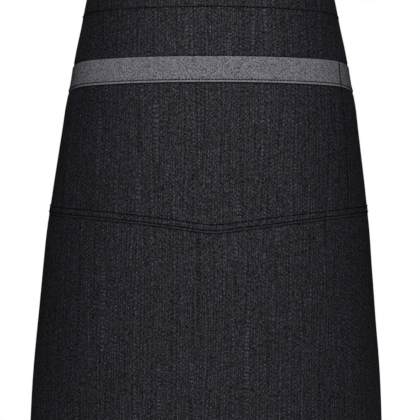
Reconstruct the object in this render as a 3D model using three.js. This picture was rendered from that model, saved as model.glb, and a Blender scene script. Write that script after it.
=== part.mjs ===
// A denim waist apron, worn: skirt, full-width pocket with a grey band, ties and a plain bow behind.
// Millimetres, +Z up, the front faces -Y. The origin is the middle of the waist ring, level with the
// middle of the waist hem at the centre front.
import * as THREE from 'three';

// The worn form: a rounded oval ring at the waist and a larger one at the bottom hem.
const waistWidth = 288;
const waistDepth = 212;
const hemWidth = 425;
const hemDepth = 270;
const ringPower = 2.2;
const leanOffset = -6;
const sideDropHeight = 8;

// The skirt cloth, flat: its length, the gap its side edges leave behind, and its turned hems.
const panelLength = 560;
const backGapWidth = 104;
const clothThickness = 1.0;
const clearance = 0.3;
const waistHemHeight = 42;
const bottomHemHeight = 20;
const sideHemWidth = 12;

// The pocket: depths are from the top edge of the skirt, down the cloth.
const pocketMouthDepth = 97;
const pocketPointDepth = 301;
const pocketPointOffset = 10;
const pocketEndHeight = 36;
const pocketInsetWidth = 4;
const pocketSlackDepth = 1.6;
const slackWidth = 170;
const bandHeight = 30;

// The ties and their bow.
const tieWidth = 28;
const tieThickness = 2;
const tieLapLength = 32;
const knotWidth = 30;
const knotHeight = 34;
const knotThickness = 16;
const knotPower = 3;
const loopLength = 92;
const loopBulgeDepth = 20;
const loopDroopHeight = 26;
const tailLength = 235;
const tailSpreadWidth = 30;
const pinchedWidth = 15;
const pinchLength = 28;

// How finely the cloth is faceted.
const cellWidth = 15.5;
const ringSteps = 360;
const loopSteps = 22;
const tailSteps = 14;
const hair = 1e-6;

// The worn form between the two rings: how far down the cloth, and how much of the growth in
// width and depth and of the lean to one side is reached there, all as shares.
const formSections = [
  { fall: 0.00, growth: 0.000, lean: 0.00 },
  { fall: 0.10, growth: 0.165, lean: 0.00 },
  { fall: 0.25, growth: 0.391, lean: 0.00 },
  { fall: 0.40, growth: 0.566, lean: 0.25 },
  { fall: 0.55, growth: 0.730, lean: 0.55 },
  { fall: 0.70, growth: 0.835, lean: 0.72 },
  { fall: 0.85, growth: 0.931, lean: 0.88 },
  { fall: 1.00, growth: 1.000, lean: 1.00 },
];

const denim = () => new THREE.MeshStandardMaterial({ color: 0x2d2c31, roughness: 0.92, metalness: 0 });
const greyDenim = () => new THREE.MeshStandardMaterial({ color: 0x6c6970, roughness: 0.9, metalness: 0 });

// A smooth curve through one column of the form table, read at a share of the fall.
function formCurve(column) {
  const points = formSections.map((row) => new THREE.Vector2(row.fall, row[column]));
  const last = points.length - 1;
  const slope = (i) => {
    const before = points[Math.max(i - 1, 0)];
    const after = points[Math.min(i + 1, last)];
    return (after.y - before.y) / (after.x - before.x);
  };
  return (share) => {
    let i = 0;
    while (i < last - 1 && share > points[i + 1].x) i += 1;
    const from = points[i];
    const to = points[i + 1];
    const run = to.x - from.x;
    const t = (share - from.x) / run;
    const rise = 3 * t * t - 2 * t * t * t;
    const out = (t * t * t - 2 * t * t + t) * run * slope(i);
    const into = (t * t * t - t * t) * run * slope(i + 1);
    return from.y + (to.y - from.y) * rise + out + into;
  };
}

const growthAt = formCurve('growth');
const leanAt = formCurve('lean');

// Half of the ring at one depth, from the centre front round to the centre back, with the length
// walked so far at each step.
function halfRing(depth) {
  const share = depth / panelLength;
  const growth = growthAt(share);
  const halfAcross = (waistWidth + (hemWidth - waistWidth) * growth) / 2;
  const halfThrough = (waistDepth + (hemDepth - waistDepth) * growth) / 2;
  const steps = [];
  let walked = 0;
  for (let i = 0; i <= ringSteps; i += 1) {
    const turn = (Math.PI * i) / ringSteps;
    const x = halfAcross * Math.abs(Math.sin(turn)) ** (2 / ringPower);
    const forward = Math.abs(Math.cos(turn)) ** (2 / ringPower);
    const y = -halfThrough * Math.sign(Math.cos(turn)) * forward;
    if (i > 0) {
      const last = steps[i - 1];
      walked += Math.hypot(x - last.x, y - last.y);
    }
    steps.push({ x, y, walked });
  }
  return { steps, half: walked, shift: leanOffset * leanAt(share) };
}

const ringStore = new Map();

function ringAt(depth) {
  const key = depth.toFixed(4);
  if (!ringStore.has(key)) ringStore.set(key, halfRing(depth));
  return ringStore.get(key);
}

const halfPanel = ringAt(0).half - backGapWidth / 2;

// A point of the skirt's lining side: across is measured round the body from the centre front,
// depth down the cloth.
function formPoint(across, depth) {
  const ring = ringAt(depth);
  const beyond = Math.abs(across) > ring.half;
  const reach = beyond ? 2 * ring.half - Math.abs(across) : Math.abs(across);
  const side = (across < 0 ? -1 : 1) * (beyond ? -1 : 1);
  let low = 0;
  let high = ring.steps.length - 1;
  while (high - low > 1) {
    const middle = (low + high) >> 1;
    if (ring.steps[middle].walked <= reach) low = middle;
    else high = middle;
  }
  const from = ring.steps[low];
  const to = ring.steps[high];
  const t = (reach - from.walked) / (to.walked - from.walked);
  const aside = Math.min(Math.abs(across) / halfPanel, 1);
  return new THREE.Vector3(
    ring.shift + side * (from.x + (to.x - from.x) * t),
    from.y + (to.y - from.y) * t,
    waistHemHeight / 2 - depth - sideDropHeight * aside * aside,
  );
}

// The same point moved out from the body by lift, square to the cloth.
function place(across, depth, lift) {
  const reach = 1;
  const alongRing = formPoint(across + reach, depth).sub(formPoint(across - reach, depth));
  const downCloth = formPoint(across, depth + reach).sub(formPoint(across, depth - reach));
  const outward = downCloth.cross(alongRing).normalize();
  return formPoint(across, depth).addScaledVector(outward, lift);
}

// The same, with the way round the body measured from the centre back, positive towards +X.
function placeBehind(aside, depth, lift) {
  const half = ringAt(depth).half;
  return place(aside < 0 ? -half - aside : half - aside, depth, lift);
}

// A closed solid from an outer and an inner grid of points, given as rows of equal length.
function walledSheet(outer, inner) {
  const rows = outer.length;
  const columns = outer[0].length;
  const positions = [];
  for (const grid of [outer, inner]) {
    for (const row of grid) {
      for (const point of row) positions.push(point.x, point.y, point.z);
    }
  }
  const out = (r, c) => r * columns + c;
  const into = (r, c) => rows * columns + r * columns + c;
  const faces = [];
  const quad = (a, b, c, d) => faces.push(a, b, c, a, c, d);
  for (let r = 0; r < rows - 1; r += 1) {
    for (let c = 0; c < columns - 1; c += 1) {
      quad(out(r, c), out(r + 1, c), out(r + 1, c + 1), out(r, c + 1));
      faces.push(into(r, c), into(r + 1, c + 1), into(r + 1, c));
      faces.push(into(r, c), into(r, c + 1), into(r + 1, c + 1));
    }
  }
  for (let c = 0; c < columns - 1; c += 1) {
    quad(out(0, c), out(0, c + 1), into(0, c + 1), into(0, c));
    quad(out(rows - 1, c + 1), out(rows - 1, c), into(rows - 1, c), into(rows - 1, c + 1));
  }
  for (let r = 0; r < rows - 1; r += 1) {
    quad(out(r + 1, 0), out(r, 0), into(r, 0), into(r + 1, 0));
    quad(out(r, columns - 1), out(r + 1, columns - 1), into(r + 1, columns - 1), into(r, columns - 1));
  }
  const geometry = new THREE.BufferGeometry();
  geometry.setAttribute('position', new THREE.Float32BufferAttribute(positions, 3));
  geometry.setIndex(faces);
  geometry.computeVertexNormals();
  return geometry;
}

// The places of the skirt's columns: its edges, its side hems, where the ties' ends reach to, and
// even cells between them.
function panelColumns() {
  const hemEdge = sideHemWidth + clothThickness;
  const edge = [0, pocketInsetWidth, sideHemWidth, hemEdge, (hemEdge + tieLapLength) / 2, tieLapLength];
  const left = edge.map((inset) => -halfPanel + inset).sort((a, b) => a - b);
  const right = left.map((across) => -across).reverse();
  const from = left[left.length - 1];
  const cells = Math.ceil((-2 * from) / cellWidth);
  const middle = [];
  for (let i = 1; i < cells; i += 1) middle.push(from + (-2 * from * i) / cells);
  return [...left, ...middle, ...right];
}

const columns = panelColumns();
const pocketColumns = columns.filter((across) => Math.abs(across) <= halfPanel - pocketInsetWidth + hair);

// How deep the pocket's lower edge lies: a shallow point a little aside of the centre front.
function pocketFoot(across) {
  const reach = halfPanel + Math.abs(pocketPointOffset);
  return pocketPointDepth - (pocketEndHeight * Math.abs(across - pocketPointOffset)) / reach;
}

// Rows between two depths, each given as a function of the place across.
function rowsBetween(from, to, cells) {
  const rows = [];
  for (let i = 1; i < cells; i += 1) {
    rows.push((across) => from(across) + ((to(across) - from(across)) * i) / cells);
  }
  return rows;
}

const atDepth = (depth) => () => depth;
const mouthRow = atDepth(pocketMouthDepth);
const bandFootRow = atDepth(pocketMouthDepth + bandHeight);
const bandRows = [mouthRow, ...rowsBetween(mouthRow, bandFootRow, 2), bandFootRow];
const pocketRows = [...bandRows, ...rowsBetween(bandFootRow, pocketFoot, 6), pocketFoot];
const hemTopRow = atDepth(panelLength - bottomHemHeight);
const skirtRows = [
  atDepth(0),
  atDepth(waistHemHeight / 2),
  atDepth(waistHemHeight),
  atDepth(waistHemHeight + clothThickness),
  ...rowsBetween(atDepth(waistHemHeight + clothThickness), mouthRow, 3),
  ...pocketRows,
  ...rowsBetween(pocketFoot, atDepth(panelLength - bottomHemHeight - clothThickness), 8),
  atDepth(panelLength - bottomHemHeight - clothThickness),
  hemTopRow,
  atDepth(panelLength),
];

// A sheet laid on the form, with its two faces at the given lifts.
function layer(rows, across, outerLift, innerLift) {
  const grid = (liftAt) => rows.map((row) => across.map((a) => place(a, row(a), liftAt(a, row(a)))));
  return walledSheet(grid(outerLift), grid(innerLift));
}

// The turned hems double the cloth on its inside.
function skirtLining(across, depth) {
  const inSideHem = Math.abs(across) >= halfPanel - sideHemWidth - hair;
  const inWaistHem = depth <= waistHemHeight + hair;
  const inBottomHem = depth >= panelLength - bottomHemHeight - hair;
  return inSideHem || inWaistHem || inBottomHem ? -clothThickness : 0;
}

// The pocket stands a little off the skirt at its mouth, across the front, and lies flat elsewhere.
function slackAt(across, depth) {
  const aside = Math.min(Math.abs(across) / slackWidth, 1);
  const down = (depth - pocketMouthDepth) / (pocketFoot(across) - pocketMouthDepth);
  const front = (1 + Math.cos(Math.PI * aside)) / 2;
  return pocketSlackDepth * front * Math.max(1 - down, 0) ** 2;
}

function skirtPanel() {
  return layer(skirtRows, columns, () => clothThickness, skirtLining);
}

function pocketPanel() {
  const lining = (across, depth) => clothThickness + clearance + slackAt(across, depth);
  const face = (across, depth) => lining(across, depth) + clothThickness;
  return layer(pocketRows, pocketColumns, face, lining);
}

function pocketBand() {
  const lining = (across, depth) => 2 * (clothThickness + clearance) + slackAt(across, depth);
  const face = (across, depth) => lining(across, depth) + clothThickness;
  return layer(bandRows, pocketColumns, face, lining);
}

const tieDepth = waistHemHeight / 2;
const tieFace = -clothThickness - clearance;
const halfTie = tieWidth / 2;

// A waist tie: from inside the end of the waist hem round to the centre back.
function waistTie(side) {
  const stations = columns
    .filter((across) => across >= halfPanel - tieLapLength - hair)
    .map((across) => () => across);
  const freeRun = (depth) => ringAt(depth).half - clearance / 2 - halfPanel;
  const cells = Math.ceil(freeRun(tieDepth) / cellWidth);
  for (let i = 1; i <= cells; i += 1) stations.push((depth) => halfPanel + (freeRun(depth) * i) / cells);
  if (side < 0) stations.reverse();
  const rows = [tieDepth - halfTie, tieDepth, tieDepth + halfTie];
  const face = (lift) => rows.map((depth) => stations.map((across) => (
    place(side * across(depth), depth, lift)
  )));
  return walledSheet(face(tieFace), face(tieFace - tieThickness));
}

// A tape along a path behind the body: each station has its place aside, depth and lift, the way
// its width runs, its width, and the way its thickness runs.
function tape(stations, side) {
  const face = (outward) => stations.map((at) => [-1, 0, 1].map((edge) => {
    const aside = at.aside + edge * at.width * at.tilt / 2 + outward * at.normalAside * tieThickness / 2;
    const depth = at.depth + edge * at.width * Math.sqrt(1 - at.tilt * at.tilt) / 2;
    const lift = at.lift + outward * at.normalLift * tieThickness / 2;
    return placeBehind(side * aside, depth, lift);
  }));
  return side > 0 ? walledSheet(face(1), face(-1)) : walledSheet(face(-1), face(1));
}

// The tape is pinched where it leaves the knot and opens to its full width.
function tapeWidthAt(run) {
  const opened = Math.min(run / pinchLength, 1);
  return pinchedWidth + (tieWidth - pinchedWidth) * (3 - 2 * opened) * opened * opened;
}

const knotFace = tieFace + clearance;
const knotMiddle = knotFace + knotThickness / 2;

// One loop of the bow: out from the knot along the back, round, and back to the knot.
function bowLoop(side) {
  const start = knotWidth / 2 + clearance;
  const inner = clothThickness + clearance + tieThickness / 2;
  const path = (t) => {
    const turn = Math.PI * t;
    const out = Math.sin(turn) ** 0.8;
    const spread = tieThickness + (loopBulgeDepth / 2 - tieThickness) * Math.sin(turn);
    const settle = Math.max(inner + loopBulgeDepth / 2 - knotMiddle, 0) * out;
    return {
      aside: start + loopLength * out,
      depth: tieDepth + loopDroopHeight * out * out,
      lift: knotMiddle + settle - spread * Math.cos(turn),
    };
  };
  const stations = [];
  for (let i = 0; i <= loopSteps; i += 1) {
    const t = i / loopSteps;
    const at = path(t);
    const before = path(Math.max(t - 0.01, 0));
    const after = path(Math.min(t + 0.01, 1));
    const away = after.aside - before.aside;
    const up = after.lift - before.lift;
    const step = Math.hypot(away, up);
    const run = at.aside - start;
    stations.push({
      ...at,
      width: tapeWidthAt(run),
      tilt: (-loopDroopHeight / loopLength) * Math.min(run / pinchLength, 1),
      normalAside: -up / step,
      normalLift: away / step,
    });
  }
  return tape(stations, side);
}

// One tail of the bow: down from under the knot, over the back of the hips. Its inner edge starts at
// the centre back and swings aside.
function tieTail(side) {
  const top = tieDepth + knotHeight / 2 + clearance;
  const face = (outward) => {
    const rows = [];
    for (let i = 0; i <= tailSteps; i += 1) {
      const t = i / tailSteps;
      const down = tailLength * t;
      const innerEdge = clearance + tailSpreadWidth * t ** 0.8;
      const width = tapeWidthAt(down);
      const lift = knotMiddle * Math.exp(-down / pinchLength) + (outward * tieThickness) / 2;
      rows.push([0, 0.5, 1].map((share) => (
        placeBehind(side * (innerEdge + share * width), top + down, lift)
      )));
    }
    return rows;
  };
  return side > 0 ? walledSheet(face(-1), face(1)) : walledSheet(face(1), face(-1));
}

// The knot: a firm rounded lump of wrapped tape over the meeting of the ties.
function bowKnot() {
  const geometry = new THREE.SphereGeometry(1, 20, 12);
  const shape = geometry.attributes.position;
  const squared = (value) => Math.sign(value) * Math.abs(value) ** (2 / knotPower);
  for (let i = 0; i < shape.count; i += 1) {
    const aside = (squared(-shape.getX(i)) * knotWidth) / 2;
    const rise = (squared(shape.getY(i)) * knotHeight) / 2;
    const out = (squared(shape.getZ(i)) * knotThickness) / 2;
    const point = placeBehind(aside, tieDepth - rise, knotMiddle + out);
    shape.setXYZ(i, point.x, point.y, point.z);
  }
  geometry.computeVertexNormals();
  return geometry;
}

const group = new THREE.Group();

function add(name, geometry, material) {
  const mesh = new THREE.Mesh(geometry, material);
  mesh.name = name;
  group.add(mesh);
}

add('skirt_panel', skirtPanel(), denim());
add('pocket_panel', pocketPanel(), denim());
add('pocket_band', pocketBand(), greyDenim());
for (const [name, side] of [['left', 1], ['right', -1]]) {
  add(`tie_${name}`, waistTie(side), denim());
  add(`bow_loop_${name}`, bowLoop(side), denim());
  add(`tie_tail_${name}`, tieTail(side), denim());
}
add('bow_knot', bowKnot(), denim());

export default group;
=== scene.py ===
import math

import bpy
import numpy as np
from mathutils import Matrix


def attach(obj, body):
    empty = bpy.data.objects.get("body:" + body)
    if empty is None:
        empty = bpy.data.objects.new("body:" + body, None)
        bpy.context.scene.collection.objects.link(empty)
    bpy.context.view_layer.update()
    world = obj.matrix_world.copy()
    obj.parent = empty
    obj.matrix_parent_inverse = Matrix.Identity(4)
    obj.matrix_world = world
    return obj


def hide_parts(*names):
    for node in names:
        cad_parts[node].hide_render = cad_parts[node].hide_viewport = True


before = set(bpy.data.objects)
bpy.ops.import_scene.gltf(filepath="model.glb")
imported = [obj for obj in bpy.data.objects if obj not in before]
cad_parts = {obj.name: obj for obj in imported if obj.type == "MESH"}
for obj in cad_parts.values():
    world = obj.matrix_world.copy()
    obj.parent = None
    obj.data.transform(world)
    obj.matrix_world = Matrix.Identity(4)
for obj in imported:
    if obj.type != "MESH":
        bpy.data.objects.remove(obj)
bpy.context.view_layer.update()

# The camera stands level and straight in front of the apron, with a long lens. The apron's top edge and
# its bottom hem are just outside the frame.
METRE = 0.001
view_aside = -0.8
view_height = -253.39
view_back = -2522.4
lens_length = 178.9
sensor_width = 36.0

camera = bpy.data.objects.new("camera", bpy.data.cameras.new("camera"))
camera.data.sensor_width = sensor_width
camera.data.lens = lens_length
camera.location = (view_aside * METRE, view_back * METRE, view_height * METRE)
camera.rotation_euler = (math.pi / 2, 0, 0)
bpy.context.scene.collection.objects.link(camera)
bpy.context.scene.camera = camera

# The skirt is one piece of charcoal denim, woven as a 3/1 twill, wrapped smoothly round the hips and
# open at the back. Its waist, side and bottom hems are turned to the inside and sewn with black thread.

# Lengths are in millimetres: across is measured round the body from the centre front, depth down the
# cloth from its top edge, and lift out from the lining.
waist_size = np.array((288.0, 212.0))
hem_size = np.array((425.0, 270.0))
ring_power = 2 / 2.2
lean_offset = -6.0
side_drop = 8.0
panel_length = 560.0
back_gap = 104.0
waist_hem = 42.0
bottom_hem = 20.0
side_hem = 12.0
waist_row = 39.3
bottom_row = panel_length - 17.5
side_row_inset = 9.5
skirt_thickness = 1.1
hem_thickness = 0.85

fall = np.array((0.0, 0.10, 0.25, 0.40, 0.55, 0.70, 0.85, 1.0))
growth_stops = np.array((0.0, 0.165, 0.391, 0.566, 0.730, 0.835, 0.931, 1.0))
lean_stops = np.array((0.0, 0.0, 0.0, 0.25, 0.55, 0.72, 0.88, 1.0))


def through(at, places, stops):
    """A smooth curve that passes through the stops at their places."""
    slope = np.empty_like(stops)
    slope[1:-1] = (stops[2:] - stops[:-2]) / (places[2:] - places[:-2])
    slope[0] = (stops[1] - stops[0]) / (places[1] - places[0])
    slope[-1] = (stops[-1] - stops[-2]) / (places[-1] - places[-2])
    i = np.searchsorted(places[1:-1], at)
    run = places[i + 1] - places[i]
    t = (at - places[i]) / run
    rise = (stops[i + 1] - stops[i]) * t * t * (3 - 2 * t)
    return stops[i] + rise + (t**3 - 2 * t**2 + t) * run * slope[i] + (t**3 - t**2) * run * slope[i + 1]


def ring_sizes(depth):
    """Half of the width and of the depth of the worn ring, and how far it leans aside."""
    share = depth / panel_length
    growth = through(share, fall, growth_stops)
    half_across = (waist_size[0] + (hem_size[0] - waist_size[0]) * growth) / 2
    half_through = (waist_size[1] + (hem_size[1] - waist_size[1]) * growth) / 2
    return half_across, half_through, lean_offset * through(share, fall, lean_stops)


def squared(value, power):
    """A sine or cosine that draws a ring out towards a rounded square."""
    return np.sign(value) * np.abs(value) ** power


def on_ring(turn, half_across, half_through):
    return half_across * squared(np.sin(turn), ring_power), -half_through * squared(np.cos(turn), ring_power)


table_step = 2.0
table_depths = np.arange(-8.0, panel_length + 14.0, table_step)
turns = np.linspace(0, math.pi, 721)
shares = np.linspace(0, 1, 1601)
ring_x, ring_y = on_ring(turns[None, :], *(size[:, None] for size in ring_sizes(table_depths)[:2]))
ring_walked = np.cumsum(np.hypot(np.diff(ring_x, axis=1), np.diff(ring_y, axis=1)), axis=1)
ring_walked = np.pad(ring_walked, ((0, 0), (1, 0)))
ring_half = ring_walked[:, -1]
turn_table = np.array([np.interp(shares * w[-1], w, turns) for w in ring_walked])
half_panel = np.interp(0, table_depths, ring_half) - back_gap / 2


def half_ring(depth):
    return np.interp(depth, table_depths, ring_half)


def eased(value, start, end):
    """From 0 at start to 1 at end, smoothly."""
    t = np.clip((value - start) / (end - start), 0, 1)
    return t * t * (3 - 2 * t)


def bump_line(distance, width):
    return np.exp(-((distance / width) ** 2))


def span(value, start, full, fading, end):
    """1 from full to fading, easing to 0 at start and at end."""
    return eased(value, start, full) * (1 - eased(value, fading, end))


hip_sag = 3.4
hip_depth = 120.0
hip_reach = 70.0


def form_point(across, depth):
    """A point of the skirt's lining side. The cloth sags a little round the hips."""
    across, depth = np.broadcast_arrays(np.asarray(across, float), np.asarray(depth, float))
    aside = np.abs(across)
    hips = span(aside, 158.0, 222.0, 240.0, 320.0)
    depth = depth + hip_sag * hips * bump_line(depth - hip_depth, hip_reach)
    row = (depth - table_depths[0]) / table_step
    low = row.astype(int).clip(0, len(table_depths) - 2)
    t = row - low
    half = half_ring(depth)
    beyond = aside > half
    reach = np.where(beyond, 2 * half - aside, aside)
    side = np.where(across < 0, -1, 1) * np.where(beyond, -1, 1)
    column = reach / half * (len(shares) - 1)
    left = column.astype(int).clip(0, len(shares) - 2)
    s = column - left
    upper = turn_table[low, left] * (1 - s) + turn_table[low, left + 1] * s
    lower = turn_table[low + 1, left] * (1 - s) + turn_table[low + 1, left + 1] * s
    half_across, half_through, shift = ring_sizes(depth)
    x, y = on_ring(upper * (1 - t) + lower * t, half_across, half_through)
    drop = side_drop * np.minimum(aside / half_panel, 1) ** 2
    return np.stack([shift + side * x, y, waist_hem / 2 - depth - drop], axis=-1)


def place(across, depth, lift):
    """The same point moved out from the body by lift, square to the cloth."""
    along = form_point(across + 1.0, depth) - form_point(across - 1.0, depth)
    down = form_point(across, depth + 1.0) - form_point(across, depth - 1.0)
    outward = np.cross(down, along)
    outward /= np.linalg.norm(outward, axis=-1, keepdims=True)
    return form_point(across, depth) + outward * np.asarray(lift)[..., None]


def spaced(start, end, step, lines=(), fine=0.75, reach=2.6):
    """Places from start to end, step apart, closer together at both ends and beside each line."""
    samples, rim, rim_fine = 24001, 0.7, 0.22
    at = np.linspace(start, end, samples)
    density = np.full_like(at, 1 / step)
    for line in lines:
        density += bump_line(at - line, reach) / fine
    for end_line in (start, end):
        density += bump_line(at - end_line, rim) / rim_fine
    walked = np.concatenate([[0], np.cumsum((density[1:] + density[:-1]) / 2 * np.diff(at))])
    return np.interp(np.linspace(0, walked[-1], math.ceil(walked[-1]) + 1), walked, at)


def ripple(at, length, seed):
    """An irregular smooth wave, about -1 to 1, that repeats the same way each run."""
    a, b, c = np.random.default_rng(seed).uniform(0, 2 * math.pi, 3)
    wave = 2 * math.pi * at / length
    return (np.sin(wave + a) + 0.7 * np.sin(wave * 1.618 + b) + 0.5 * np.sin(wave * 0.577 + c)) / 2.2


def rounded(face, lining, edge_distance, radius):
    """Both faces of a sheet drawn together over its rim, as a folded edge is."""
    middle, half = (face + lining) / 2, (face - lining) / 2
    t = np.clip(edge_distance / radius, 0, 1)
    swell = np.sqrt(np.maximum(1 - (1 - t) ** 2, 0))
    return middle + half * swell, middle - half * swell


def mesh_piece(name, points, faces, flat, marks, finish):
    """An object from points in millimetres, with the flat cloth's coordinates as its UV map."""
    volume = 0.0
    for face in faces:
        a, b, c = (points[face[:, k]] for k in (0, 1, 2))
        volume += np.einsum("ij,ij->", a, np.cross(b, c))
        if face.shape[1] == 4:
            volume += np.einsum("ij,ij->", a, np.cross(c, points[face[:, 3]]))
    if volume < 0:
        faces = [face[:, ::-1] for face in faces]
    mesh = bpy.data.meshes.new(name)
    mesh.from_pydata((points * METRE).tolist(), [], [f for face in faces for f in face.tolist()])
    mesh.shade_smooth()
    corners = np.empty(len(mesh.loops), dtype=np.int32)
    mesh.loops.foreach_get("vertex_index", corners)
    layer = mesh.uv_layers.new(name="flat")
    layer.data.foreach_set("uv", (flat[corners] * METRE).astype(np.float32).ravel())
    for label, values in marks.items():
        store = mesh.attributes.new(label, "FLOAT", "POINT")
        store.data.foreach_set("value", values.astype(np.float32).ravel())
    mesh.materials.append(finish)
    piece = bpy.data.objects.new(name, mesh)
    bpy.context.scene.collection.objects.link(piece)
    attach(piece, "root")
    return piece


def closed_sheet(name, face, lining, flat, marks, finish):
    """A closed sheet from two grids of points that share their outermost rows and columns."""
    rows, columns = face.shape[:2]
    outer = np.arange(rows * columns).reshape(rows, columns)
    inner = outer.copy()
    inner[1:-1, 1:-1] = rows * columns + np.arange((rows - 2) * (columns - 2)).reshape(rows - 2, columns - 2)

    def quads(i):
        return np.stack([i[:-1, :-1], i[1:, :-1], i[1:, 1:], i[:-1, 1:]], axis=-1).reshape(-1, 4)

    def both(grid, under):
        width = grid.shape[2:] or (1,)
        return np.concatenate([grid.reshape(-1, *width), under[1:-1, 1:-1].reshape(-1, *width)])

    every = [quads(outer), quads(inner)[:, ::-1]]
    marks = {label: both(values, values) for label, values in marks.items()}
    return mesh_piece(name, both(face, lining), every, both(flat, flat), marks, finish)


class Wire:
    """One socket of a material. Maths on it adds Math nodes, and node() adds any other node."""

    def __init__(self, tree, socket=None):
        self.tree, self.socket = tree, socket

    def node(self, kind, settings=None, values=None, out=0):
        made = self.tree.nodes.new("ShaderNode" + kind)
        for label, value in (settings or {}).items():
            if label == "stops":
                for i, (at, colour) in enumerate(value):
                    stop = made.color_ramp.elements[i] if i < 2 else made.color_ramp.elements.new(at)
                    stop.position, stop.color = at, colour
            else:
                setattr(made, label, value)
        for label, value in (values or {}).items():
            if isinstance(value, Wire):
                self.tree.links.new(value.socket, made.inputs[label])
            else:
                made.inputs[label].default_value = value
        if isinstance(out, tuple):
            return [Wire(self.tree, made.outputs[label]) for label in out]
        return Wire(self.tree, made.outputs[out]) if len(made.outputs) else made

    def maths(self, operation, *values):
        return self.node("Math", {"operation": operation}, dict(enumerate(values)))

    def __add__(self, other):
        return self.maths("ADD", self, other)

    def __sub__(self, other):
        return self.maths("SUBTRACT", self, other)

    def __rsub__(self, other):
        return self.maths("SUBTRACT", other, self)

    def __mul__(self, other):
        return self.maths("MULTIPLY", self, other)

    def __mod__(self, other):
        return self.maths("FLOORED_MODULO", self, other)

    def __rpow__(self, other):
        return self.maths("POWER", other, self)

    def __lt__(self, other):
        return self.maths("LESS_THAN", self, other)

    __radd__, __rmul__ = __add__, __mul__

    def floor(self):
        return self.maths("FLOOR", self)

    def sine(self):
        return self.maths("SINE", self)

    def above(self, least):
        return self.maths("MAXIMUM", self, least)

    def mixed(self, low, high):
        """From low to high as this goes from 0 to 1: numbers, or colours given as tuples or wires."""
        if isinstance(low, tuple):
            return self.node("Mix", {"data_type": "RGBA"}, {0: self, 6: low, 7: high}, 2)
        return self.node("Mix", {"data_type": "FLOAT"}, {0: self, 2: low, 3: high}, 0)

    def tinted(self, strength):
        """This colour, times a number."""
        return self.node("VectorMath", {"operation": "SCALE"}, {0: self, 3: strength})

    def noise(self, across, down, detail=0.0, seed=0.0):
        """Smooth noise, 0.5 on average, of two wires."""
        at = self.node("CombineXYZ", {}, {0: across, 1: down, 2: seed})
        settings = {"noise_dimensions": "3D"}
        return self.node("TexNoise", settings, {"Vector": at, "Scale": 1.0, "Detail": detail}, 0)


def new_finish(name):
    finish = bpy.data.materials.new(name)
    finish.use_nodes = True
    finish.node_tree.nodes.clear()
    return finish, Wire(finish.node_tree)


def finished(wire, surface):
    wire.node("OutputMaterial", {}, {"Surface": surface})


def woven(name, warp, weft, weft_floats, gloss, contrast, streak, wear_and_highlight_gain):
    """Twill: warp yarns run down the cloth, and the weft shows at weft_floats of every four crossings.
    Chains are uneven bands of warp, which slub and beat change along their length, and cloud is the slow
    change of the dye."""
    warp_per_mm, weft_per_mm, chains_per_mm, full_turn = 2.38, 1.85, 0.29, 6.2832
    finish, wire = new_finish(name)
    flat = wire.node("UVMap", {"uv_map": "flat"})
    u, v = wire.node("SeparateXYZ", {}, {0: flat}, ("X", "Y"))
    u, v = u * 1000.0, v * 1000.0
    warp_at = u * warp_per_mm + (wire.noise(u * 0.03, v * 0.05, 1.0, 3.0) - 0.5) * 1.6
    weft_at = v * weft_per_mm + (wire.noise(u * 0.04, v * 0.03, 1.0, 7.0) - 0.5) * 1.4
    i, j = warp_at.floor(), weft_at.floor()
    shows = ((i + j) % 4.0) < weft_floats
    off_warp, off_weft = (warp_at - i) * 2.0 - 1.0, (weft_at - j) * 2.0 - 1.0
    hump = shows.mixed(1.0 - off_warp * off_warp, 1.0 - off_weft * off_weft)
    yarn = wire.noise(i * 3.71, v * 0.11, 2.0, 11.0) - 0.5
    crossing = wire.node("CombineXYZ", {}, {0: (i * 0.5).floor(), 1: (j * 0.5).floor(), 2: 5.0})
    grain = wire.node("TexWhiteNoise", {"noise_dimensions": "3D"}, {"Vector": crossing}, "Value") - 0.5
    chain_at = u * chains_per_mm + wire.noise(u * 0.11, v * 0.004, 1.0, 17.0) * 4.0
    chain = ((chain_at - chain_at.floor()) * full_turn).sine()
    link = chain_at.floor() * 2.37
    beat = ((v * 0.207 + wire.noise(link, v * 0.012, 0.0, 29.0) * 5.0) * full_turn).sine()
    slub = wire.noise(link, v * 0.02, 1.0, 37.0) * streak
    cloud = wire.noise(u * 0.012, v * 0.009, 2.0, 23.0) - 0.5
    # The first mark lightens the colour where edges are worn and, as a painted highlight, where folded edges
    # and ridges would catch the light. The second is painted shade: it darkens the colour along stitch
    # grooves, under edges and in creases.
    wear = wire.node("Attribute", {"attribute_name": "wear"}, {}, "Fac")
    seam = wire.node("Attribute", {"attribute_name": "seam"}, {}, "Fac")
    faded = contrast - wear * (contrast * 0.5)
    change = (grain * 3.0 + chain * (slub + beat * 0.55) + yarn * 0.6) * faded
    change = change - change.above(0.0) * 0.66
    # Painted shade: the colour darkens where the cloth turns away from the camera, towards its outline.
    facing = wire.node("LayerWeight", {}, {"Blend": 0.5}, "Facing")
    rim = facing * facing * facing
    tone = 2.0 ** (change + cloud * 0.3 + wear * wear_and_highlight_gain - seam * 0.9 - rim * rim * 3.0)
    # Painted shade between the yarns: each yarn's colour is lighter on its crown and darker down its sides.
    crown = hump * 0.5 + 0.62
    colour = shows.mixed(warp, weft).tinted(tone * crown)
    height = hump * 0.6 + grain * 0.7 + chain * 0.3 + yarn * 0.8
    lumpy = wire.node("Bump", {}, {"Strength": 0.6, "Distance": 0.00017, "Height": height}, "Normal")
    rough = (seam * 0.35 + rim * 0.3 + gloss) * 2.0 ** (change * -0.08)
    values = {"Base Color": colour, "Roughness": rough, "Specular IOR Level": 0.5, "Normal": lumpy}
    finished(wire, wire.node("BsdfPrincipled", {}, values))
    return finish


denim_warp = (0.0105, 0.0096, 0.0137, 1)
denim_weft = (0.0314, 0.0288, 0.0411, 1)
denim = woven("denim", denim_warp, denim_weft, weft_floats=1.0, gloss=0.64, contrast=4.7, streak=0.85,
              wear_and_highlight_gain=1.2)


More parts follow.
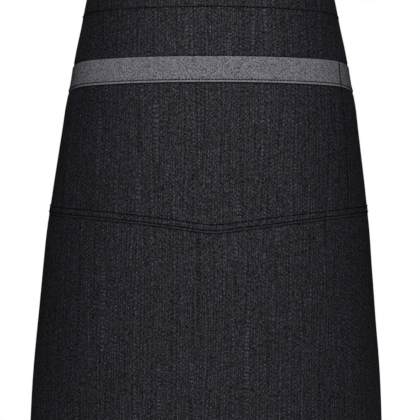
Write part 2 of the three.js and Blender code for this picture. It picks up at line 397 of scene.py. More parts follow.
def thread_finish():
    """Spun polyester thread, black, with a fine twist."""
    finish, wire = new_finish("black_thread")
    flat = wire.node("UVMap", {"uv_map": "flat"})
    u, v = wire.node("SeparateXYZ", {}, {0: flat}, ("X", "Y"))
    twist = (u * 3200.0 + v * 1500.0) % 1.0
    fuzz = wire.noise(u * 5000.0, v * 5000.0, 1.0, 5.0)
    # Painted shade in the twist: the thread's colour darkens where the twist's relief sinks, down one side of
    # each ply.
    colour = fuzz.mixed((0.0016, 0.0016, 0.0020, 1), (0.005, 0.0049, 0.0062, 1)).tinted(twist.mixed(0.4, 1.0))
    lumpy = wire.node("Bump", {}, {"Strength": 0.6, "Distance": 0.0001, "Height": twist}, "Normal")
    values = {"Base Color": colour, "Roughness": 0.68 + fuzz * 0.1, "Specular IOR Level": 0.12,
              "Normal": lumpy}
    finished(wire, wire.node("BsdfPrincipled", {}, values))
    return finish


thread = thread_finish()

# A stitch is a short capsule of rings: how far along each one stands, its radius and its rise.
stitch_pitch = 3.8
stitch_rings = ((-1.35, 0.0, -0.40), (-1.12, 0.33, -0.08), (-0.45, 0.44, 0.12), (0.45, 0.44, 0.12),
                (1.12, 0.33, -0.08), (1.35, 0.0, -0.40))
stitch_sides = 6


def stitches(name, rows, surface, gauge=1.0, floor_lift=0.05):
    """Short tubes of thread along each row. A row is points of the flat cloth with the lift of the
    cloth there and the side on which the thread lies. The surface turns all of them into space."""
    angles = 2 * math.pi * np.arange(stitch_sides) / stitch_sides
    shape = [(stitch_rings[0][0], 0.0, stitch_rings[0][2])]
    for along, radius, rise in stitch_rings[1:-1]:
        shape += [(along, radius * math.cos(a), rise + radius * math.sin(a)) for a in angles]
    shape.append((stitch_rings[-1][0], 0.0, stitch_rings[-1][2]))
    shape = np.array(shape) * (1, gauge, gauge)
    loops, last = len(stitch_rings) - 2, len(shape) - 1
    ring = [1 + np.arange(stitch_sides) + k * stitch_sides for k in range(loops)]
    quads = [np.stack([ring[k], np.roll(ring[k], -1), np.roll(ring[k + 1], -1), ring[k + 1]], 1)
             for k in range(loops - 1)]
    caps = [np.stack([np.full(stitch_sides, 0), np.roll(ring[0], -1), ring[0]], 1),
            np.stack([np.full(stitch_sides, last), ring[-1], np.roll(ring[-1], -1)], 1)]
    places = []
    for points, lift, side in rows:
        steps = np.linalg.norm(np.diff(points, axis=0), axis=1)
        walked = np.concatenate([[0], np.cumsum(steps)])
        count = max(int(round(walked[-1] / stitch_pitch)), 1)
        at = (np.arange(count) + 0.5) * walked[-1] / count
        back, spot, ahead = (np.stack([np.interp(at + near, walked, points[:, k]) for k in (0, 1)], 1)
                             for near in (-0.5, 0.0, 0.5))
        way = (ahead - back) / np.linalg.norm(ahead - back, axis=1, keepdims=True)
        height = np.interp(at, walked, np.broadcast_to(lift, walked.shape))
        stretch = np.full(count, walked[-1] / count / stitch_pitch)
        places.append(np.column_stack([spot, way, height, stretch, np.full(count, side)]))
    u, v, du, dv, height, stretch, side = (column[:, None] for column in np.concatenate(places).T)
    jitter = np.random.default_rng(len(name)).normal(0, 1, (len(u), 3))
    turned = jitter[:, :1] * 0.03
    du, dv = du - dv * turned, dv + du * turned
    x, y, z = shape[:, 0] * stretch, shape[:, 1], shape[:, 2] + floor_lift + jitter[:, 1:2] * 0.02
    points = surface(u + x * du - y * dv, v + x * dv + y * du, height + side * z)
    count, size = points.shape[:2]
    shift = (np.arange(count) * size)[:, None, None]
    faces = [(np.concatenate(part)[None] + shift).reshape(-1, part[0].shape[1]) for part in (quads, caps)]
    around = np.concatenate([[0.0], np.tile(angles * 0.3, loops), [0.0]])
    flat = np.stack(np.broadcast_arrays(x + jitter[:, 2:], around[None]), -1).reshape(-1, 2)
    return mesh_piece(name, points.reshape(-1, 3), faces, flat, {}, thread)


pocket_mouth = 97.9
pocket_point = 301.0
foot_places = np.array((-352.0, -186.0, -127.0, -66.0, -30.0, -4.0, 7.0, 17.0, 40.0, 84.0, 134.0, 182.0,
                        352.0))
foot_stops = np.array((265.0, 279.6, 284.8, 291.8, 296.8, 300.5, 301.0, 300.6, 297.4, 291.5, 285.0, 279.8,
                       266.0))


def pocket_foot(across):
    """Depth of the pocket's lower edge, which runs to a blunt point near the middle."""
    return through(across, foot_places, foot_stops)


def hem_row(across):
    """The waist hem's row of stitches wanders down a little at the wearer's left."""
    return waist_row + 0.9 * eased(across, 40.0, 105.0)


def sway(across, depth):
    """How the worn cloth stands a little off an even form, the same for every layer. Round the hips it
    draws in under the band and under the pocket's foot, so that both lie flush."""
    aside = np.abs(across)
    full = 0.5 * (1 - eased(depth, 85.0, 125.0))
    hips = span(aside, 150.0, 195.0, 235.0, 290.0)
    drawn = 0.7 * eased(depth, 50.0, 80.0) - eased(depth, 92.0, 98.0) + eased(depth, 125.0, 132.0)
    by_band = hips * (drawn - 0.7 * eased(depth, 132.0, 175.0))
    thighs = span(aside, 190.0, 235.0, 285.0, 330.0)
    below = depth - pocket_foot(across)
    by_foot = 0.9 * thighs * (eased(below, -1.5, 1.5) - eased(below, 3.0, 70.0))
    calm = 0.22 * ripple(across + 0.3 * depth, 96.0, 4) * ripple(depth, 210.0, 5)
    hanging = eased(aside, 215.0, half_panel) * eased(depth, 60.0, 420.0)
    swing = hanging * (1.6 + 2.2 * ripple(across + 0.35 * depth, 88.0, 6))
    return full + calm + by_band + by_foot + swing


def skirt_faces(across, depth):
    """The lifts of the skirt's outer face and of its lining face, with hems, grooves and puckers."""
    inset = half_panel - np.abs(across)
    up = panel_length - depth
    waist_zone = 1 - eased(depth, waist_hem - 0.6, waist_hem + 0.9)
    side_zone = 1 - eased(inset, side_hem - 0.5, side_hem + 0.8)
    foot_zone = 1 - eased(up, bottom_hem - 0.5, bottom_hem + 0.8)
    zone = np.maximum(np.maximum(waist_zone, side_zone), foot_zone)
    rows = [(depth - hem_row(across), across, 31), (inset - side_row_inset, depth, 32),
            (depth - bottom_row, across, 33)]
    ends = eased(inset, 1.0, 4.0) * eased(depth, 1.0, 4.0) * eased(up, 1.0, 4.0)
    groove = sum(0.3 * bump_line(gap, 0.9) for gap, _, _ in rows)
    pucker = sum(0.13 * bump_line(gap, 5.5) * ripple(along, 10.5, seed) for gap, along, seed in rows)
    roll = 0.16 * (bump_line(depth - 3.0, 3.0) + bump_line(up - 3.0, 3.0) + bump_line(inset - 3.0, 2.6))
    lift = sway(across, depth)
    face = lift + skirt_thickness + 0.2 * zone + roll + (pucker - groove) * ends
    lining = lift - hem_thickness * zone + (groove * 0.8 + pucker) * ends
    return face, lining


side_edge = half_panel - side_row_inset
skirt_columns = spaced(-half_panel, half_panel, 2.55, lines=(-side_edge, side_edge))
skirt_lines = (waist_row, waist_hem, pocket_mouth - 0.9, pocket_mouth + 30.6, pocket_point, bottom_row,
               panel_length - bottom_hem)
skirt_rows = spaced(0.0, panel_length, 6.2, lines=skirt_lines)
across, depth = np.meshgrid(skirt_columns, skirt_rows)
depth = depth + (pocket_foot(across) - pocket_point) * bump_line(depth - pocket_point, 75.0)
face, lining = skirt_faces(across, depth)
edge = np.minimum(np.minimum(half_panel - np.abs(across), depth), panel_length - depth)
face, lining = rounded(face, lining, edge, 0.95)
# Marks painted on the skirt's colour: it is lighter along its outer edges and a ridge just inside them, where
# the turned hems are worn and, as a painted highlight, catch the light. Painted shade lies in the waist row's
# groove, in a line just above the band, and as the shadow just below the pocket's lower edge.
marks = {
    "wear": np.maximum(bump_line(edge, 1.1), 0.25 * bump_line(edge - 4.0, 2.5)),
    "seam": 0.9 * bump_line(depth - hem_row(across), 0.8) + 0.9 * bump_line(depth - pocket_mouth + 1.2, 1.0)
    + 1.6 * bump_line(depth - pocket_foot(across) - 0.5, 0.9),
}
skirt = closed_sheet("skirt_cloth", place(across, depth, face), place(across, depth, lining),
                     np.stack([across, -depth], -1), marks, denim)


def skirt_row(start, end, side=1):
    """A row of stitches on the skirt, on its outer face or its lining."""
    points = np.linspace(start, end, 240)
    points[:, 1] += np.where(points[:, 1] == waist_row, hem_row(points[:, 0]) - waist_row, 0)
    faces = skirt_faces(points[:, 0], points[:, 1])
    return points, faces[0] if side > 0 else faces[1], side


skirt_rows_sewn = []
for side in (1, -1):
    for row in (waist_row, bottom_row):
        skirt_rows_sewn.append(skirt_row((-half_panel + 1.5, row), (half_panel - 1.5, row), side))
    for row in (side_edge, -side_edge):
        skirt_rows_sewn.append(skirt_row((row, waist_row + 2.0), (row, bottom_row - 1.5), side))

# The crossed box of stitches that holds each tie shows through to the outside of the waist hem.
tie_lap = 32.0
tie_half = 14.0
tie_depth = waist_hem / 2
lap_start, lap_end = half_panel - tie_lap + 3, half_panel - 5
lap_top, lap_foot = tie_depth - tie_half + 3, tie_depth + tie_half - 3
lap_box = np.array([(lap_start, lap_top), (lap_end, lap_top), (lap_end, lap_foot), (lap_start, lap_foot)])
lap_runs = [(0, 1), (1, 2), (2, 3), (3, 0), (0, 2), (1, 3)]
for mirror in (1, -1):
    for a, b in lap_runs:
        skirt_rows_sewn.append(skirt_row(lap_box[a] * (mirror, 1), lap_box[b] * (mirror, 1)))
skirt_thread = stitches("skirt_stitches", skirt_rows_sewn, place, gauge=1.4, floor_lift=0.14)
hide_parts("skirt_panel")

# The pocket is a second piece of the same denim over the full width of the skirt. Its lower edge runs
# to a shallow point, is turned under and is sewn down with two rows; one upright row parts off a narrow
# pen pocket at the wearer's left.
pocket_inset = 4.0
foot_turn = 10.5
foot_rows = (2.5, 9.5)
pocket_reach = half_panel - pocket_inset
pocket_height = pocket_point - pocket_mouth
pocket_side_row = 5.5
pocket_lining = skirt_thickness + 0.06
pocket_thickness = 0.68
pocket_bag = 0.65
pen_depths = (97.0, 122.0, 192.0, 273.0, 300.0)
pen_places = (168.6, 169.4, 174.6, 176.2, 176.4)

# The pocket and the band lie on flat cloth of their own, so that neither repeats the skirt's yarns.
pocket_cut = 3000


def pen_row(depth):
    """Where the pen pocket's row lies across at each depth."""
    return np.interp(depth, pen_depths, pen_places)


def slack(across, depth):
    """How far the pocket's mouth stands off the skirt."""
    aside = np.minimum(np.abs(across) / 170.0, 1)
    down = (depth - pocket_mouth) / (pocket_foot(across) - pocket_mouth)
    return 1.3 * (1 + np.cos(math.pi * aside)) / 2 * np.clip(1 - down, 0, 1) ** 2


def pocket_faces(across, depth):
    """The lifts of the pocket's outer face and of its lining face."""
    up = pocket_foot(across) - depth
    inset = pocket_reach - np.abs(across)
    turned = 1 - eased(up, foot_turn - 0.6, foot_turn + 1.4)
    turned_side = 1 - eased(inset, 8.0, 9.6)
    pen = across - pen_row(depth)
    under_band = 1 - eased(depth, pocket_mouth + 30.0, pocket_mouth + 33.0)
    rows = [(up - foot_rows[0], across, 41, 1.0), (up - foot_rows[1], across, 42, 1.0),
            (pen, depth, 43, 0.75), (inset - pocket_side_row, depth, 44, 1.0)]
    sewn = sum(bump_line(gap, 0.95) * strength for gap, _, _, strength in rows)
    pucker = sum(0.12 * bump_line(gap, 5.0) * ripple(along, 9.5, seed) for gap, along, seed, _ in rows)
    between = 0.10 * bump_line(up - 6.0, 2.6)
    bag = pocket_bag * span(depth, 128.0, 150.0, 228.0, 285.0)
    lift = sway(across, depth) + slack(across, depth) * eased(np.abs(pen), 0.0, 30.0)
    lining = lift + pocket_lining + bag
    face = lining + pocket_thickness + 0.42 * np.maximum(turned, turned_side * 0.7) + between
    ends = eased(inset, 0.8, 3.0) * eased(up, 0.4, 1.6) * (1 - under_band)
    face = face + (pucker - 0.30 * sewn) * ends
    return face, lining


def pocket_depth(across, down):
    """Depth of the cloth at a place down the pocket: straight rows at the mouth, the foot's line below."""
    short = pocket_height - (pocket_foot(across) - pocket_mouth)
    return pocket_mouth + down - short * eased(down, 34.0, pocket_height - 22.0)


pocket_columns = spaced(-pocket_reach, pocket_reach, 2.55, lines=(173.5,), fine=1.4, reach=4.5)
pocket_downs = spaced(0.0, pocket_height, 4.6, fine=0.7,
                      lines=[30.2, *(pocket_height - up for up in (*foot_rows, foot_turn))])
across, down = np.meshgrid(pocket_columns, pocket_downs)
depth = pocket_depth(across, down)
face, lining = pocket_faces(across, depth)
foot_gap = pocket_foot(across) - depth
edge = np.minimum(np.minimum(pocket_reach - np.abs(across), down), foot_gap)
face, lining = rounded(face, lining, edge, 0.8)
# Marks painted on the pocket's colour: a strip along the turned-under foot and the doubled cloth between its
# rows are lighter, worn and, as a painted highlight, catching the light. Painted shade lies in the grooves of
# the foot rows and the pen row, and as the band's shadow just under its lower edge.
marks = {
    "wear": np.maximum(1.6 * bump_line(foot_gap - 0.9, 0.75), 0.22 * bump_line(foot_gap - 5.8, 2.4)),
    "seam": 1.3 * bump_line(foot_gap - foot_rows[0], 0.65) + 1.1 * bump_line(foot_gap - foot_rows[1], 0.75)
    + 0.35 * bump_line(across - pen_row(depth), 0.9) + 1.6 * bump_line(depth - pocket_mouth - 29.9, 0.9),
}
pocket = closed_sheet("pocket_cloth", place(across, depth, face), place(across, depth, lining),
                      np.stack([across + pocket_cut, -depth], -1), marks, denim)


pocket_sides = (pocket_reach - pocket_side_row, pocket_side_row - pocket_reach)


def pocket_row(points):
    return points, pocket_faces(points[:, 0], points[:, 1])[0], 1


pocket_rows_sewn = []
for up in foot_rows:
    run = np.linspace(-pocket_reach + 1.5, pocket_reach - 1.5, 400)
    pocket_rows_sewn.append(pocket_row(np.stack([run, pocket_foot(run) - up], 1)))
run = np.linspace(pocket_mouth + 31.0, pocket_foot(176.0) - foot_rows[1] - 1.0, 160)
pocket_rows_sewn.append(pocket_row(np.stack([pen_row(run), run], 1)))
for row in pocket_sides:
    row_end = pocket_foot(row) - foot_rows[1] - 1.0
    pocket_rows_sewn.append(pocket_row(np.linspace((row, pocket_mouth + 32.0), (row, row_end), 160)))
pocket_thread = stitches("pocket_stitches", pocket_rows_sewn, place, gauge=1.55, floor_lift=0.16)
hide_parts("pocket_panel")

# The band binds the mouth of the pocket: a strip of grey denim, folded over the mouth's top edge, with
# its lower edge turned under and sewn down with one black row. The pen pocket's row is doubled here.
band_height = 29.1
band_row = 2.7
band_gap = 0.05
band_thickness = 0.55
band_past = 0.3
band_cut = 6000

grey_warp = (0.130, 0.125, 0.139, 1)
grey_weft = (0.390, 0.374, 0.411, 1)
grey = woven("grey_denim", grey_warp, grey_weft, weft_floats=3.0, gloss=0.75, contrast=1.1, streak=0.3,
             wear_and_highlight_gain=0.5)


def band_faces(across, depth):
    """The lifts of the band's outer face and of its lining face."""
    up = pocket_mouth + band_height - depth
    top = depth - pocket_mouth
    pocket_face, pocket_under = pocket_faces(across, np.maximum(depth, pocket_mouth))
    turned = 1 - eased(up, 6.2, 8.0)
    pen = across - pen_row(depth)
    sewn = bump_line(up - band_row, 0.85) + 0.8 * bump_line(pen, 1.0)
    pucker = 0.10 * bump_line(up - band_row, 4.5) * ripple(across, 9.0, 51)
    fold = 0.14 * bump_line(top - 1.6, 2.2)
    under = eased(top, 0.1, 0.5)
    lining = pocket_face + band_gap
    lining = lining * under + (pocket_under + 0.02) * (1 - under)
    face = pocket_face + band_gap + band_thickness + 0.28 * turned + fold
    face = face + (pucker - 0.30 * sewn) * eased(up, 0.3, 1.4)
    return face, lining


band_top = pocket_mouth - 0.7
band_foot = pocket_mouth + band_height
band_reach = pocket_reach + band_past
band_columns = spaced(-band_reach, band_reach, 2.55, lines=(169.0,), fine=0.8, reach=3.0)
band_lines = (pocket_mouth + 0.3, band_foot - band_row)
band_rows_down = spaced(band_top, band_foot, 2.6, lines=band_lines, fine=0.5, reach=1.8)
across, depth = np.meshgrid(band_columns, band_rows_down)
face, lining = band_faces(across, depth)
edge = np.minimum(np.minimum(band_reach - np.abs(across), depth - band_top), band_foot - depth)
face, lining = rounded(face, lining, edge, 0.7)
# Marks painted on the band's colour: its folded lower and upper edges are lighter, worn and, as a painted
# highlight, catching the light. Painted shade lies in the groove of its row and along the doubled pen row.
marks = {
    "wear": np.maximum(bump_line(depth - band_foot + 0.9, 1.0), 0.4 * bump_line(depth - band_top - 0.8, 0.9)),
    "seam": 1.3 * bump_line(depth - band_foot + band_row, 0.6)
    + 2.8 * bump_line(across - pen_row(depth), 1.1),
}
band = closed_sheet("band_cloth", place(across, depth, face), place(across, depth, lining),
                    np.stack([across + band_cut, -depth], -1), marks, grey)


def band_stitch_row(points):
    return points, band_faces(points[:, 0], points[:, 1])[0], 1


run = np.linspace(-pocket_reach + 1.0, pocket_reach - 1.0, 400)
band_rows_sewn = [band_stitch_row(np.stack([run, np.full_like(run, band_foot - band_row)], 1))]
run = np.linspace(band_top + 2.0, band_foot - band_row - 1.0, 40)
for beside in (-0.42, 0.42):
    band_rows_sewn.append(band_stitch_row(np.stack([pen_row(run) + beside, run], 1)))
run = np.linspace(band_top + 2.0, band_foot - 1.0, 40)
for row in pocket_sides:
    band_rows_sewn.append(band_stitch_row(np.stack([np.full_like(run, row), run], 1)))
band_thread = stitches("band_stitches", band_rows_sewn, place, gauge=1.45, floor_lift=0.16)
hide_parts("pocket_band")

# The waist ties are flat tapes of doubled denim, turned in at both edges and sewn along them. Each is
# sewn inside an end of the waist hem with a crossed box of stitches and runs round to the bow behind.
tie_face = -hem_thickness - 0.12
tie_thickness = 1.7
tie_clear = 0.15
tape_row = 2.2


def tape_section(across, along, seed):
    """How a tape's outer side stands above its middle: rolled edges, with a groove at each edge row."""
    inset = tie_half - np.abs(across)
    roll = 0.16 * bump_line(inset - 1.0, 1.0)
    groove = 0.22 * bump_line(inset - tape_row, 0.8)
    pucker = 0.09 * bump_line(inset - tape_row, 2.6) * ripple(along + 40.0 * np.sign(across), 9.0, seed)
    return roll - groove + pucker


# A tape's edges are painted lighter, worn and, as a painted highlight, catching the light; painted shade lies
# in the grooves of its edge rows.
def tape_marks(across):
    inset = tie_half - np.abs(across)
    return {"wear": 0.9 * bump_line(inset - 0.4, 0.9), "seam": 0.6 * bump_line(inset - tape_row, 0.7)}


def tie_rise(along, side):
    """How far a tie comes out again, a little unevenly, once it has left the waist hem."""
    free = eased(along, half_panel - 2.0, half_panel + 12.0)
    return 0.5 * free * (1 + 0.6 * ripple(along, 34.0, 62 + side))


row_aside = tie_half - tape_row
tape_across = spaced(-tie_half, tie_half, 2.4, lines=(-row_aside, row_aside), fine=0.9, reach=1.2)
for name, side in (("left", 1), ("right", -1)):
    free_start = half_panel - tie_lap
    free_end = half_ring(tie_depth) - tie_clear
    tie_along = spaced(free_start, free_end, 2.6)
    down, along = np.meshgrid(tape_across, tie_along, indexing="ij")
    at_depth = tie_depth + down
    stretch = (half_ring(at_depth) - tie_clear - half_panel) / (free_end - half_panel)
    run = np.where(along > half_panel, half_panel + (along - half_panel) * stretch, along)
    form = tape_section(down, along, 60 + side)
    outer = tie_face + tie_rise(along, side) + form
    inner = tie_face + tie_rise(along, side) - tie_thickness - form
    edge = np.minimum(np.minimum(tie_half - np.abs(down), along - free_start), free_end - along)
    outer, inner = rounded(outer, inner, edge, 0.9)
    faces = place(side * run, at_depth, outer), place(side * run, at_depth, inner)
    tie = closed_sheet(f"tie_cloth_{name}", *faces, np.stack([down + 200.0 * side, -along], -1),
                       tape_marks(down), denim)

    def tie_surface(down, along, lift, side=side):
        return place(side * along, tie_depth + down, tie_face + tie_rise(along, side) + lift)

    tie_rows = []
    for row in (row_aside, -row_aside):
        path = np.linspace((row, free_start + 2.0), (row, free_end - 6.0), 80)
        tie_rows += [(path, -0.12, 1), (path, -tie_thickness + 0.12, -1)]
    box = np.stack([lap_box[:, 1] - tie_depth, lap_box[:, 0]], 1)
    for a, b in lap_runs:
        tie_rows.append((np.linspace(box[a], box[b], 12), -tie_thickness + 0.02, -1))
    tie_thread = stitches(f"tie_stitches_{name}", tie_rows, tie_surface)
    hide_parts(f"tie_{name}")

# The bow's loops and tails are the free runs of the same two tapes. Each is gathered into pleats where
# it comes out of the knot and opens to its full width; the tails end in a turned hem.
knot_width = 30.0
knot_height = 34.0
knot_thickness = 16.0
knot_middle = 7.0
pinched_width = 15.0
pinch_length = 28.0
loop_length = 92.0
loop_bulge = 20.0
loop_droop = 26.0
tail_length = 235.0
tail_spread = 30.0
part_gap = 0.3
loop_root = 2.0
end_row = 8.0


def behind(aside, depth, lift):
    """A point with its way round the body measured from the centre back, positive towards +X."""
    half = half_ring(depth)
    return place(np.where(aside < 0, -half - aside, half - aside), depth, lift)


def opened_width(run):
    return pinched_width + (2 * tie_half - pinched_width) * eased(run, 0.0, pinch_length)


def pleats(across, run, seed):
    """The folds that take up a gathered tape's width."""
    gathered = 1 - eased(run, 4.0, pinch_length * 1.5)
    turn = across / tie_half * math.pi
    return 1.15 * gathered * (np.sin(turn * 2.3 + seed) + 0.5 * np.sin(turn * 1.1 + 2 * seed))


def loop_path(t):
    """A loop's middle line, out from the knot and back: aside, depth and lift, and the share of its reach."""
    turn = math.pi * t
    out = np.sin(turn).clip(0) ** 0.8
    spread = loop_root + (loop_bulge / 2 - loop_root) * np.sin(turn)
    settle = max(2.3 + loop_bulge / 2 - knot_middle, 0) * out
    aside = knot_width / 2 + part_gap + loop_length * out
    return aside, tie_depth + loop_droop * out**2, knot_middle + settle - spread * np.cos(turn), out


t = np.linspace(0, 1, 401)
loop_aside, loop_depth, loop_lift, _ = loop_path(t)
loop_before, loop_after = loop_path((t - 0.01).clip(0, 1)), loop_path((t + 0.01).clip(0, 1))
step_away, step_up = loop_after[0] - loop_before[0], loop_after[2] - loop_before[2]
step_size = np.hypot(step_away, step_up)
loop_run = loop_aside - loop_aside[0]
loop_tilt = -loop_droop / loop_length * np.minimum(loop_run / pinch_length, 1)
moved = np.sqrt(np.diff(loop_aside) ** 2 + np.diff(loop_depth) ** 2 + np.diff(loop_lift) ** 2)
loop_walked = np.concatenate([[0], np.cumsum(moved)])
loop_table = (loop_aside, loop_depth, loop_lift, loop_tilt, opened_width(loop_run), -step_up / step_size,
              step_away / step_size, loop_run)


def loop_surface(side):
    def at(across, along, lift):
        aside, depth, height, tilt, width, normal_aside, normal_lift, run = (
            np.interp(along, loop_walked, column) for column in loop_table)
        sideways = across / tie_half * width / 2
        soft = 0.5 * np.sin(across / tie_half * 1.4 + 0.3 * side) * eased(run, 10.0, 60.0)
        out = lift + pleats(across, run, 1.1 + 0.6 * side) + soft
        return behind(side * (aside + sideways * tilt + normal_aside * out),
                      depth + sideways * np.sqrt(1 - tilt**2), height + normal_lift * out)
    return at


def tail_surface(side):
    top = tie_depth + knot_height / 2 + part_gap

    def at(across, along, lift):
        share = np.clip(along / tail_length, 0, 1)
        width = opened_width(along)
        aside = part_gap + tail_spread * share**0.8 + width / 2 * (1 + across / tie_half)
        height = knot_middle * np.exp(-along / pinch_length)
        swing = eased(along, 30.0, 120.0) * (1.2 + 0.9 * ripple(along + 20 * side, 120.0, 70 + side)
                                             + 0.5 * ripple(across + along * 0.2, 50.0, 72 + side))
        folds = pleats(across, along, 0.4 - 0.8 * side) * 0.8
        return behind(side * aside, top + along, height + swing + lift + folds)
    return at


for name, side in (("left", 1), ("right", -1)):
    for kind, surface, flat_length, cut in (
        ("loop", loop_surface(side), loop_walked[-1], 400),
        ("tail", tail_surface(side), tail_length, 900),
    ):
        fine_lines = (flat_length - 9.0,) if kind == "tail" else ()
        along_steps = spaced(0.0, flat_length, 2.3, lines=fine_lines, fine=1.0, reach=1.6)
        across, along = np.meshgrid(tape_across, along_steps)
        form = tape_section(across, along, 80 + side)
        half_thick = tie_thickness / 2
        end_gap = flat_length - along
        if kind == "tail":
            hem = 1 - eased(end_gap, 10.0, 11.5)
            form = form + 0.25 * hem - 0.2 * bump_line(end_gap - end_row, 0.8)
        edge = np.minimum(np.minimum(tie_half - np.abs(across), along), end_gap)
        outer, inner = rounded(half_thick + form, -half_thick - form, edge, 0.85)
        faces = surface(across, along, outer), surface(across, along, inner)
        flat = np.stack([across + 300.0 * side, -along - cut], -1)
        piece = closed_sheet(f"{kind}_cloth_{name}", *faces, flat, tape_marks(across), denim)
        rows = []
        for row in (row_aside, -row_aside):
            path = np.linspace((row, 3.0), (row, flat_length - 3.0), 160)
            rows += [(path, half_thick - 0.08, 1), (path, -half_thick + 0.08, -1)]
        if kind == "tail":
            hem_at = flat_length - end_row
            path = np.linspace((-tie_half + 2.4, hem_at), (tie_half - 2.4, hem_at), 20)
            rows += [(path, half_thick + 0.1, 1), (path, -half_thick - 0.1, -1)]
        piece_thread = stitches(f"{kind}_stitches_{name}", rows, surface)
        node = f"bow_loop_{name}" if kind == "loop" else f"tie_tail_{name}"
        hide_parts(node)

# The knot: one tie wraps the gathered middle of the bow from top to bottom. The wrap is the tape itself,
# drawn narrow so that it lies in lengthwise pleats, over a firm core of the same cloth.
wrap_half = 11.5
wrap_length = 78.0
wrap_thickness = 1.5
wrap_rise = knot_height / 2 - 1.4
wrap_out = knot_thickness / 2 - 1.1
wrap_power = 2 / 2.6


def wrap_ring(across, turn):
    """The wrap at a share of its half width: its place aside, its fold, its ring and how the ring swells."""
    front = np.clip(np.sin(turn), 0, 1)
    pinch = 1 - 0.16 * bump_line(np.cos(turn), 0.55) * front
    crown = np.sqrt(np.maximum(1 - np.abs(across) ** 3.2 * 0.55, 0))
    fold = 0.55 * np.sin(across * 8.6 + 0.8 * np.sin(turn) + 0.5)
    fold = fold + 0.3 * np.sin(across * 15.0 + 2.0 + 0.6 * np.cos(turn))
    rise, out = wrap_rise * squared(np.cos(turn), wrap_power), wrap_out * squared(np.sin(turn), wrap_power)
    return across * wrap_half * pinch, fold, rise, out, crown * (1 + (0.055 * fold) * (0.35 + 0.65 * front))


across, turn = np.meshgrid(np.linspace(-1, 1, 61), np.linspace(0, 2 * math.pi, 121)[:-1])
aside, fold, rise, out, swell = wrap_ring(across, turn)
ring_points = []
for inset in (0.0, wrap_thickness):
    shrink = np.where(np.abs(across) > 0.96, 0.45, 1.0) * inset
    scale_rise = swell - shrink / (knot_height / 2)
    scale_out = swell - shrink / (knot_thickness / 2)
    ring_points.append(behind(aside, tie_depth - rise * scale_rise, knot_middle + out * scale_out))
wrap_rows, wrap_columns = across.shape
outer_index = np.arange(wrap_rows * wrap_columns).reshape(wrap_rows, wrap_columns)
inner_index = outer_index + wrap_rows * wrap_columns


def ring_quads(index):
    after = np.roll(index, -1, axis=0)
    return np.stack([index[:, :-1], after[:, :-1], after[:, 1:], index[:, 1:]], -1).reshape(-1, 4)


wrap_faces = [ring_quads(outer_index), ring_quads(inner_index)[:, ::-1]]
for column, flip in ((0, 1), (-1, -1)):
    a, b = outer_index[:, column], inner_index[:, column]
    rim = np.stack([a, b, np.roll(b, -1), np.roll(a, -1)], 1)
    wrap_faces.append(rim[:, ::flip])
wrap_flat = np.stack([across * tie_half + 700.0, -turn / (2 * math.pi) * wrap_length], -1).reshape(-1, 2)
# The wrap's colour is painted lighter on the crests of its folds, a painted highlight, and at its worn edges;
# painted shade lies in the troughs of the folds and along its edge rows.
wrap_wear_and_highlight = (0.35 * np.clip(fold, 0, 1) + 0.6 * bump_line(1 - np.abs(across), 0.06)).ravel()
wrap_painted_shade = (0.7 * bump_line(np.abs(across) - 0.84, 0.04) + 0.35 * np.clip(-fold, 0, 1)).ravel()
knot_wrap = mesh_piece("knot_wrap", np.concatenate([p.reshape(-1, 3) for p in ring_points]), wrap_faces,
                       np.concatenate([wrap_flat, wrap_flat]),
                       {"wear": np.tile(wrap_wear_and_highlight, 2), "seam": np.tile(wrap_painted_shade, 2)}, denim)


def wrap_surface(across, along, lift):
    aside, _, rise, out, swell = wrap_ring(across / tie_half, along / wrap_length * 2 * math.pi)
    scale = swell + lift / np.hypot(rise, out)
    return behind(aside, tie_depth - rise * scale, knot_middle + out * scale)


wrap_sewn = [(np.linspace((row, 2.0), (row, 44.0), 60), 0.0, 1) for row in (row_aside, -row_aside)]
wrap_thread = stitches("knot_stitches", wrap_sewn, wrap_surface)
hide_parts("bow_knot")

core_turn, core_tip = np.meshgrid(np.linspace(0, 2 * math.pi, 97)[:-1], np.linspace(0, math.pi, 49)[1:-1])
core_half = (14.6, 13.2, 5.6)
core_power = 2 / 2.7


def gathers(turn):
    """The gathers round the core, -1 to 1."""
    return np.sin(turn * 9 + 1.3 * np.sin(turn * 2))


def core_point(turn, tip):
    """The core's surface: a rounded block with gathers running out to the loops."""
    aside, reach = np.cos(tip), np.sin(tip)
    gather = 1 + 0.075 * gathers(turn) * np.abs(aside) ** 0.5
    ways = (aside, reach * np.cos(turn), reach * np.sin(turn))
    block = [squared(way, core_power) * half for way, half in zip(ways, core_half)]
    return behind(block[0], tie_depth - block[1] * gather, knot_middle + block[2] * gather)


core_grid = core_point(core_turn, core_tip)
tips = core_point(np.zeros(2), np.array([0.0, math.pi]))
core_rows, core_columns = core_turn.shape
core_index = np.arange(core_rows * core_columns).reshape(core_rows, core_columns)
after = np.roll(core_index, -1, axis=1)
core_quads = np.stack([core_index[:-1], core_index[1:], after[1:], after[:-1]], -1).reshape(-1, 4)
first, last = core_rows * core_columns, core_rows * core_columns + 1
core_caps = np.concatenate([
    np.stack([np.full(core_columns, first), core_index[0], after[0]], 1),
    np.stack([np.full(core_columns, last), after[-1], core_index[-1]], 1),
])
core_flat = np.stack([core_turn * 12.0 + 800.0, core_tip * 14.0], -1).reshape(-1, 2)
core_flat = np.concatenate([core_flat, [(800.0, 0.0), (800.0, 44.0)]])
core_points = np.concatenate([core_grid.reshape(-1, 3), tips])
# The core's gathers are painted lighter on their crests, a painted highlight, and darker in their troughs,
# painted shade.
gather_highlight = np.concatenate([(0.2 + 0.2 * gathers(core_turn)).ravel(), [0, 0]])
knot_core = mesh_piece("knot_core", core_points, [core_quads, core_caps], core_flat,
                       {"wear": gather_highlight, "seam": 0.4 - gather_highlight}, denim)
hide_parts("bow_knot")

# The studio: a pale round floor well below the hem and a white background, in metres. The key light stands
# in front, above and a little to the right, and a weak one higher up fills in; one light behind serves
# the bow and one overhead the floor.
floor_height = -0.98
floor_radius = 0.8


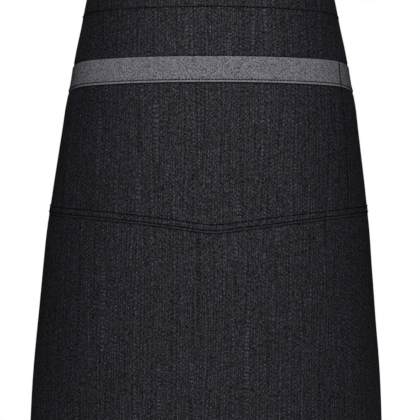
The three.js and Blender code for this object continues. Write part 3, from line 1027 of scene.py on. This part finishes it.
def floor_finish():
    """Matt pale floor paint with a faint mottle."""
    finish, wire = new_finish("floor_paint")
    at = wire.node("TexCoord", {}, {}, "Object")
    x, y = wire.node("SeparateXYZ", {}, {0: at}, ("X", "Y"))
    mottle = wire.noise(x * 6.0, y * 6.0, 3.0)
    colour = mottle.mixed((0.87, 0.87, 0.87, 1), (0.92, 0.92, 0.915, 1))
    finished(wire, wire.node("BsdfPrincipled", {}, {"Base Color": colour, "Roughness": 0.8}))
    return finish


angles = np.linspace(0, 2 * math.pi, 161)[:-1]
floor_mesh = bpy.data.meshes.new("floor")
floor_rim = [(floor_radius * math.cos(a), floor_radius * math.sin(a), floor_height) for a in angles]
floor_mesh.from_pydata(floor_rim, [], [list(range(len(floor_rim)))])
floor_mesh.materials.append(floor_finish())
floor = bpy.data.objects.new("floor", floor_mesh)
bpy.context.scene.collection.objects.link(floor)

world = bpy.data.worlds.new("studio")
world.use_nodes = True
bpy.context.scene.world = world
world.node_tree.nodes.clear()
sky = Wire(world.node_tree)
seen = sky.node("LightPath", {}, {}, "Is Camera Ray")
ambient = seen.mixed(0.02, 1.0)
backdrop = sky.node("Background", {}, {"Color": (1, 1, 1, 1), "Strength": ambient})
sky.node("OutputWorld", {}, {"Surface": backdrop})


def soft_light(name, place_at, aim, size, power):
    """A square soft box that looks at a point."""
    lamp = bpy.data.lights.new(name, "AREA")
    lamp.shape, lamp.size, lamp.energy = "SQUARE", size, power
    lamp.color = (0.96, 0.96, 1.0)
    holder = bpy.data.objects.new(name, lamp)
    holder.location = place_at
    away = np.array(aim, float) - np.array(place_at, float)
    yaw = math.atan2(away[1], away[0]) - math.pi / 2
    pitch = math.atan2(away[2], math.hypot(away[0], away[1])) + math.pi / 2
    holder.rotation_euler = (pitch, 0, yaw)
    bpy.context.scene.collection.objects.link(holder)


soft_light("key_light", (0.15, -1.9, 0.36), aim=(0.0, 0.0, -0.25), size=0.6, power=15.8)
soft_light("top_light", (-0.05, -1.5, 1.1), aim=(0.0, 0.0, -0.25), size=0.6, power=2.6)
soft_light("back_light", (-0.08, 1.9, 0.9), aim=(0.0, 0.0, -0.15), size=0.4, power=22.0)
soft_light("floor_light", (0.0, 0.3, 1.5), aim=(0.0, 0.05, floor_height), size=0.4, power=15.0)
bpy.context.scene.view_settings.view_transform = "Standard"
